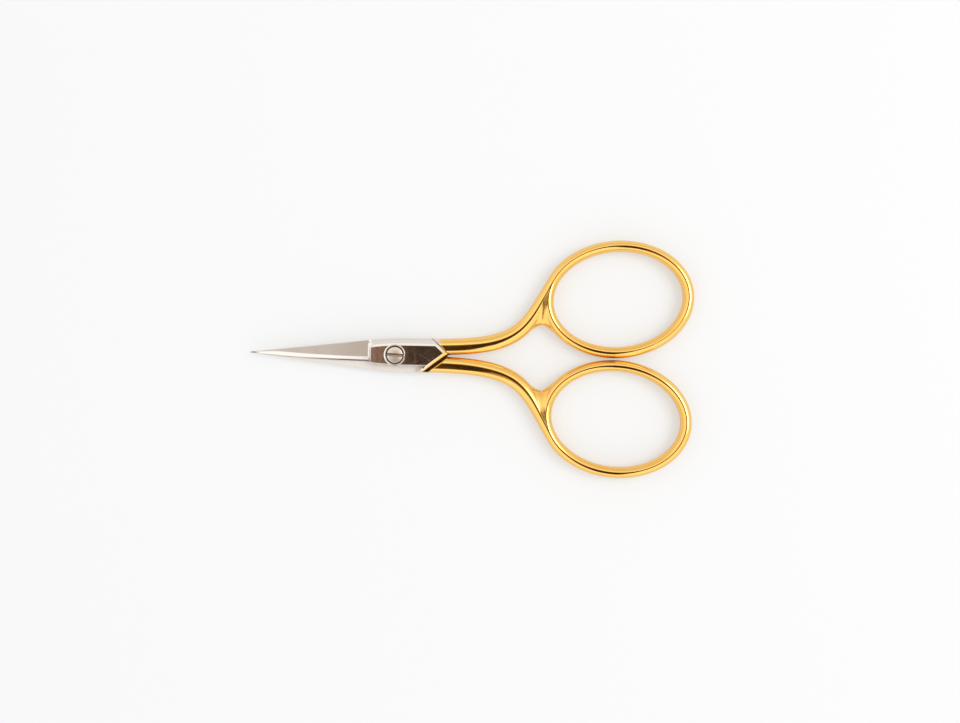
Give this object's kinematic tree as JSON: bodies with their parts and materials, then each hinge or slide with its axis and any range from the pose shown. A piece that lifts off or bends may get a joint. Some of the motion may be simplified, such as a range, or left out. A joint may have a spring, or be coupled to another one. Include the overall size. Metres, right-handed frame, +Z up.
{
  "type": "embroidery scissors",
  "caption": "Small embroidery scissors with slim pointed nickel blades, a slotted pivot screw, curved gold shanks and oval finger bows.",
  "frame": {"origin": "where the pivot axis meets the flat underside that the closed scissors rest on", "axes": "+X from the pivot towards the finger bows, +Z up along the pivot axis, +Y to the side of the bottom half's bow"},
  "size_m": [0.0897, 0.0482, 0.0037],
  "materials": {
    "gold_plate": "polished",
    "nickel_plate": "polished"
  },
  "bodies": {
    "fixed_half": {"bottom_half": "gold_plate", "pivot_screw": "nickel_plate"},
    "moving_half": {"top_half": "gold_plate"}
  },
  "joints": [
    {"name": "pivot", "type": "hinge", "parent": "fixed_half", "child": "moving_half", "pos_m": [0, 0, 0], "axis": [0, 0, -1], "range_deg": [0, 120]}
  ]
}
